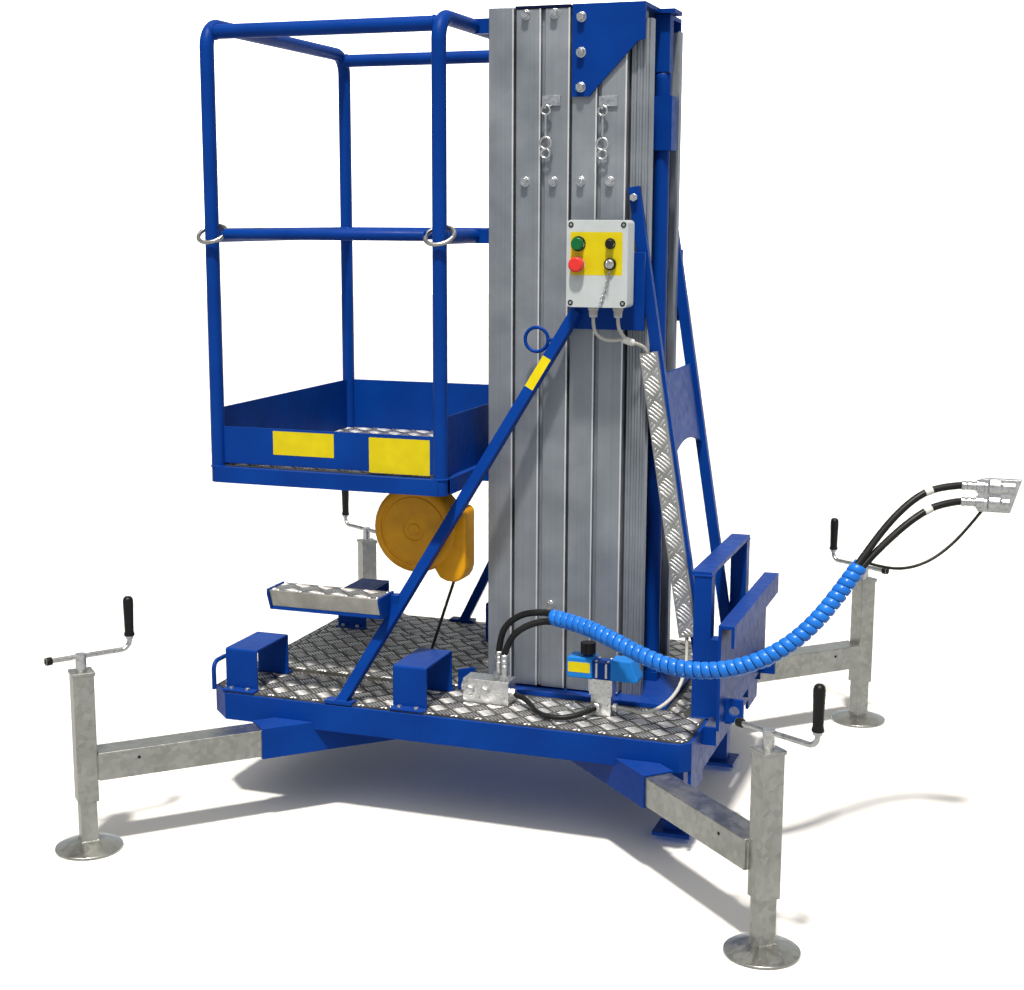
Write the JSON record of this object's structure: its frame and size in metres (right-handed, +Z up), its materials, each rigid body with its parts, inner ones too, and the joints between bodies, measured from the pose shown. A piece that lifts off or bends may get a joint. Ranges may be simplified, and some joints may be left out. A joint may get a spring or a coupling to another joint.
{
  "type": "aerial work platform",
  "caption": "Telescopic mast lift with a railed basket on a low base, with screw-jack outriggers on sliding arms, a loader hitch and oil hoses.",
  "frame": {"origin": "on the ground, midway between the four jack pads", "axes": "+Z up the mast, +X towards the loader hitch, +Y away from the basket's entry side"},
  "size_m": [2.2472, 1.832, 2.047],
  "materials": {
    "frame_blue": "gloss blue paint",
    "tread_plate": "bright tread plate",
    "mast_aluminium": "mill-finish extrusion",
    "cylinder_blue": "blue paint",
    "cylinder_steel": "ground rod",
    "cap_navy": "dark blue paint",
    "galvanised": "zinc-plated steel",
    "box_grey": "light grey moulding",
    "lead_grey": "grey cable sheath",
    "green_button": "green cap",
    "red_button": "red cap",
    "black_plastic": "black moulding",
    "hose_rubber": "black hose",
    "guard_blue": "bright blue spiral",
    "reel_yellow": "golden yellow shell"
  },
  "bodies": {
    "chassis": {"base_frame": "frame_blue", "deck_plates": "tread_plate", "fork_pockets": "frame_blue", "front_braces": "frame_blue", "step_tread": "tread_plate", "mast_collar": "frame_blue", "rear_braces": "frame_blue", "cable_cover": "tread_plate", "fixed_mast": "mast_aluminium", "cylinder_barrel": "cylinder_blue", "hitch_frame": "frame_blue", "control_case": "box_grey", "control_lid": "box_grey", "control_leads": "lead_grey", "port_block": "galvanised", "valve_body": "cylinder_blue", "deck_hose": "hose_rubber", "loader_hoses": "hose_rubber", "hose_guard": "guard_blue", "multi_coupler": "galvanised", "chassis_fasteners": "galvanised"},
    "start_button": {"start_button": "green_button"},
    "stop_button": {"stop_button": "red_button"},
    "lower_button": {"lower_button": "black_plastic"},
    "key_switch": {"key_switch": "black_plastic"},
    "valve_knob": {"valve_knob": "black_plastic"},
    "section_1": {"mast_section_1": "mast_aluminium", "lift_gusset": "frame_blue", "section_1_fasteners": "galvanised", "cylinder_rod": "cylinder_steel"},
    "snap_hook_1": {"snap_hook_1": "galvanised"},
    "chain_pulley_1": {"chain_pulley_1": "galvanised"},
    "section_2": {"mast_section_2": "mast_aluminium", "section_2_cap": "cap_navy", "section_2_fasteners": "galvanised"},
    "snap_hook_2": {"snap_hook_2": "galvanised"},
    "chain_pulley_2": {"chain_pulley_2": "galvanised"},
    "carriage": {"mast_section_3": "mast_aluminium", "basket_frame": "frame_blue", "basket_floor": "tread_plate", "toe_boards": "frame_blue", "cable_reel": "reel_yellow", "reel_cable": "hose_rubber"},
    "drop_bar": {"drop_bar": "frame_blue"},
    "arm_front_left": {"arm_front_left": "galvanised"},
    "leg_front_left": {"leg_front_left": "galvanised"},
    "crank_front_left": {"crank_front_left": "galvanised"},
    "grip_front_left": {"grip_front_left": "black_plastic"},
    "arm_rear_left": {"arm_rear_left": "galvanised"},
    "leg_rear_left": {"leg_rear_left": "galvanised"},
    "crank_rear_left": {"crank_rear_left": "galvanised"},
    "grip_rear_left": {"grip_rear_left": "black_plastic"},
    "arm_rear_right": {"arm_rear_right": "galvanised"},
    "leg_rear_right": {"leg_rear_right": "galvanised"},
    "crank_rear_right": {"crank_rear_right": "galvanised"},
    "grip_rear_right": {"grip_rear_right": "black_plastic"},
    "arm_front_right": {"arm_front_right": "galvanised"},
    "leg_front_right": {"leg_front_right": "galvanised"},
    "crank_front_right": {"crank_front_right": "galvanised"},
    "grip_front_right": {"grip_front_right": "black_plastic"}
  },
  "joints": [
    {"name": "basket_lift", "type": "slide", "parent": "chassis", "child": "carriage", "axis": [0, 0, 1], "range_m": [0, 3.9], "deforming": ["reel_cable"]},
    {"name": "section_2_lift", "type": "slide", "parent": "chassis", "child": "section_2", "axis": [0, 0, 1], "range_m": [0, 2.6]},
    {"name": "section_1_lift", "type": "slide", "parent": "chassis", "child": "section_1", "axis": [0, 0, 1], "range_m": [0, 1.3]},
    {"name": "chain_pulley_1_turn", "type": "hinge", "parent": "section_1", "child": "chain_pulley_1", "pos_m": [0.2718, 0, 1.97], "axis": [0, 1, 0], "range_deg": [0, 1660]},
    {"name": "chain_pulley_2_turn", "type": "hinge", "parent": "section_2", "child": "chain_pulley_2", "pos_m": [0.1268, 0, 1.974], "axis": [0, 1, 0], "range_deg": [0, 1660]},
    {"name": "snap_hook_1_swing", "type": "hinge", "parent": "section_1", "child": "snap_hook_1", "pos_m": [0.2755, -0.197, 1.804], "axis": [-1, 0, 0], "range_deg": [0, 100]},
    {"name": "snap_hook_2_swing", "type": "hinge", "parent": "section_2", "child": "snap_hook_2", "pos_m": [0.1305, -0.197, 1.808], "axis": [-1, 0, 0], "range_deg": [0, 100]},
    {"name": "drop_bar_slide", "type": "slide", "parent": "carriage", "child": "drop_bar", "axis": [0, 0, 1], "range_m": [0, 0.42]},
    {"name": "start_button_press", "type": "slide", "parent": "chassis", "child": "start_button", "axis": [0, 1, 0], "range_m": [0, 0.005], "stiffness_N_per_m": 800},
    {"name": "stop_button_press", "type": "slide", "parent": "chassis", "child": "stop_button", "axis": [0, 1, 0], "range_m": [0, 0.005], "stiffness_N_per_m": 1200},
    {"name": "lower_button_press", "type": "slide", "parent": "chassis", "child": "lower_button", "axis": [0, 1, 0], "range_m": [0, 0.005], "stiffness_N_per_m": 800},
    {"name": "key_turn", "type": "hinge", "parent": "chassis", "child": "key_switch", "pos_m": [0.334, -0.316, 1.429], "axis": [0, 1, 0], "range_deg": [0, 90]},
    {"name": "valve_knob_turn", "type": "hinge", "parent": "chassis", "child": "valve_knob", "pos_m": [0.287, -0.3025, 0.464], "axis": [0, 0, 1], "range_deg": [0, 270]},
    {"name": "arm_front_left_slide", "type": "slide", "parent": "chassis", "child": "arm_front_left", "axis": [-0.7071, -0.7071, 0], "range_m": [-0.24, 0.1]},
    {"name": "crank_front_left_turn", "type": "hinge", "parent": "arm_front_left", "child": "crank_front_left", "pos_m": [-0.834, -0.834, 0.489], "axis": [0, 0, 1], "range_deg": [-8640, 5760]},
    {"name": "leg_front_left_slide", "type": "slide", "parent": "arm_front_left", "child": "leg_front_left", "axis": [0, 0, 1], "range_m": [-0.12, 0.08]},
    {"name": "grip_front_left_spin", "type": "hinge", "parent": "crank_front_left", "child": "grip_front_left", "pos_m": [-0.7623, -0.73161, 0.56], "axis": [0, 0, 1], "continuous": true},
    {"name": "arm_rear_left_slide", "type": "slide", "parent": "chassis", "child": "arm_rear_left", "axis": [0.7071, -0.7071, 0], "range_m": [-0.24, 0.1]},
    {"name": "crank_rear_left_turn", "type": "hinge", "parent": "arm_rear_left", "child": "crank_rear_left", "pos_m": [0.834, -0.834, 0.489], "axis": [0, 0, 1], "range_deg": [-8640, 5760]},
    {"name": "leg_rear_left_slide", "type": "slide", "parent": "arm_rear_left", "child": "leg_rear_left", "axis": [0, 0, 1], "range_m": [-0.12, 0.08]},
    {"name": "grip_rear_left_spin", "type": "hinge", "parent": "crank_rear_left", "child": "grip_rear_left", "pos_m": [0.94225, -0.8965, 0.56], "axis": [0, 0, 1], "continuous": true},
    {"name": "arm_rear_right_slide", "type": "slide", "parent": "chassis", "child": "arm_rear_right", "axis": [0.7071, 0.7071, 0], "range_m": [-0.24, 0.1]},
    {"name": "crank_rear_right_turn", "type": "hinge", "parent": "arm_rear_right", "child": "crank_rear_right", "pos_m": [0.834, 0.834, 0.489], "axis": [0, 0, 1], "range_deg": [-8640, 5760]},
    {"name": "leg_rear_right_slide", "type": "slide", "parent": "arm_rear_right", "child": "leg_rear_right", "axis": [0, 0, 1], "range_m": [-0.12, 0.08]},
    {"name": "grip_rear_right_spin", "type": "hinge", "parent": "crank_rear_right", "child": "grip_rear_right", "pos_m": [0.72917, 0.90208, 0.56], "axis": [0, 0, 1], "continuous": true},
    {"name": "arm_front_right_slide", "type": "slide", "parent": "chassis", "child": "arm_front_right", "axis": [-0.7071, 0.7071, 0], "range_m": [-0.24, 0.1]},
    {"name": "crank_front_right_turn", "type": "hinge", "parent": "arm_front_right", "child": "crank_front_right", "pos_m": [-0.834, 0.834, 0.489], "axis": [0, 0, 1], "range_deg": [-8640, 5760]},
    {"name": "leg_front_right_slide", "type": "slide", "parent": "arm_front_right", "child": "leg_front_right", "axis": [0, 0, 1], "range_m": [-0.12, 0.08]},
    {"name": "grip_front_right_spin", "type": "hinge", "parent": "crank_front_right", "child": "grip_front_right", "pos_m": [-0.94225, 0.8965, 0.56], "axis": [0, 0, 1], "continuous": true}
  ],
  "couplings": [
    {"joint": "section_2_lift", "follows": "basket_lift", "ratio": 0.66667},
    {"joint": "section_1_lift", "follows": "basket_lift", "ratio": 0.33333},
    {"joint": "chain_pulley_1_turn", "follows": "basket_lift", "rad_per_m": 7.407},
    {"joint": "chain_pulley_2_turn", "follows": "basket_lift", "rad_per_m": 7.407},
    {"joint": "leg_front_left_slide", "follows": "crank_front_left_turn", "m_per_rad": 0.000795},
    {"joint": "leg_rear_left_slide", "follows": "crank_rear_left_turn", "m_per_rad": 0.000795},
    {"joint": "leg_rear_right_slide", "follows": "crank_rear_right_turn", "m_per_rad": 0.000795},
    {"joint": "leg_front_right_slide", "follows": "crank_front_right_turn", "m_per_rad": 0.000795}
  ]
}
